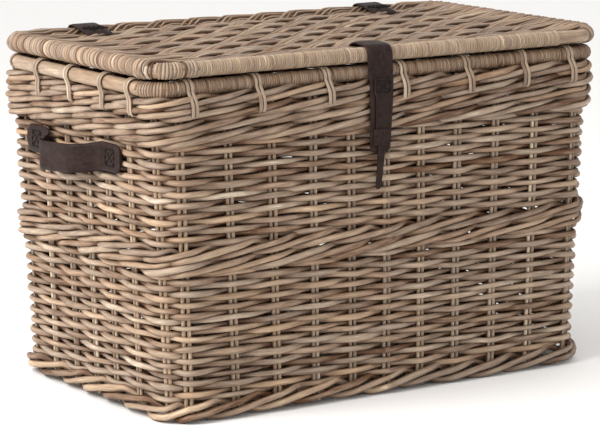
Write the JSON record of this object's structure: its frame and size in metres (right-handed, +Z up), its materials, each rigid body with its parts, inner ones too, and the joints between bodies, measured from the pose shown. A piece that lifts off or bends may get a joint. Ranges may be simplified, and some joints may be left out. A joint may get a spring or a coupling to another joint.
{
  "type": "storage trunk",
  "caption": "Rectangular woven rattan storage trunk with a hinged lid, leather hinge straps, a leather closing strap and leather end handles.",
  "frame": {"origin": "on the floor under the middle of the trunk", "axes": "+X along the trunk's width, +Y from the front to the hinged back, +Z up"},
  "size_m": [0.786, 0.438, 0.4841],
  "materials": {
    "cane": "weathered matt rattan core",
    "cane_light": "straw-coloured wound cane, satin",
    "cane_dark": "shaded rattan stakes, matt",
    "leather": "dark brown saddle leather, worn satin",
    "thread": "waxed black thread"
  },
  "bodies": {
    "trunk_body": {"floor_panel": "cane", "floor_sticks": "cane_dark", "foot_border": "cane", "lower_siding": "cane", "middle_waling": "cane", "upper_siding": "cane", "top_waling": "cane", "front_stakes": "cane_dark", "back_stakes": "cane_dark", "left_stakes": "cane_dark", "right_stakes": "cane_dark", "rim_pole": "cane_light", "rim_front_binding": "cane_light", "rim_back_binding": "cane_light", "rim_lashings": "cane_light", "left_hinge_body_leather": "leather", "right_hinge_body_leather": "leather", "left_handle_ends": "leather", "right_handle_ends": "leather", "body_stitches": "thread"},
    "lid": {"lid_frame_pole": "cane_light", "lid_front_binding": "cane_light", "lid_back_binding": "cane_light", "lid_left_roll": "cane_light", "lid_right_roll": "cane_light", "lid_corner_wraps": "cane_light", "lid_panel": "cane", "lid_sticks": "cane_dark", "left_hinge_lid_leather": "leather", "right_hinge_lid_leather": "leather", "closing_strap_tab": "leather", "lid_stitches": "thread"},
    "closing_strap": {"closing_strap": "leather", "closing_tongue": "leather", "tongue_keeper": "leather", "closing_stitches": "thread"},
    "left_handle": {"left_handle_grip": "leather"},
    "right_handle": {"right_handle_grip": "leather"}
  },
  "joints": [
    {"name": "lid_hinge", "type": "hinge", "parent": "trunk_body", "child": "lid", "pos_m": [0, 0.2068, 0.453], "axis": [-1, 0, 0], "range_deg": [0, 105]},
    {"name": "closing_strap_swing", "type": "hinge", "parent": "lid", "child": "closing_strap", "pos_m": [-0.016, -0.2073, 0.4653], "axis": [-1, 0, 0], "range_deg": [0, 120]},
    {"name": "left_handle_lift", "type": "hinge", "parent": "trunk_body", "child": "left_handle", "pos_m": [-0.371, 0.018, 0.341], "axis": [0, 1, 0], "range_deg": [0, 30]},
    {"name": "right_handle_lift", "type": "hinge", "parent": "trunk_body", "child": "right_handle", "pos_m": [0.371, 0.018, 0.341], "axis": [0, -1, 0], "range_deg": [0, 30]}
  ]
}
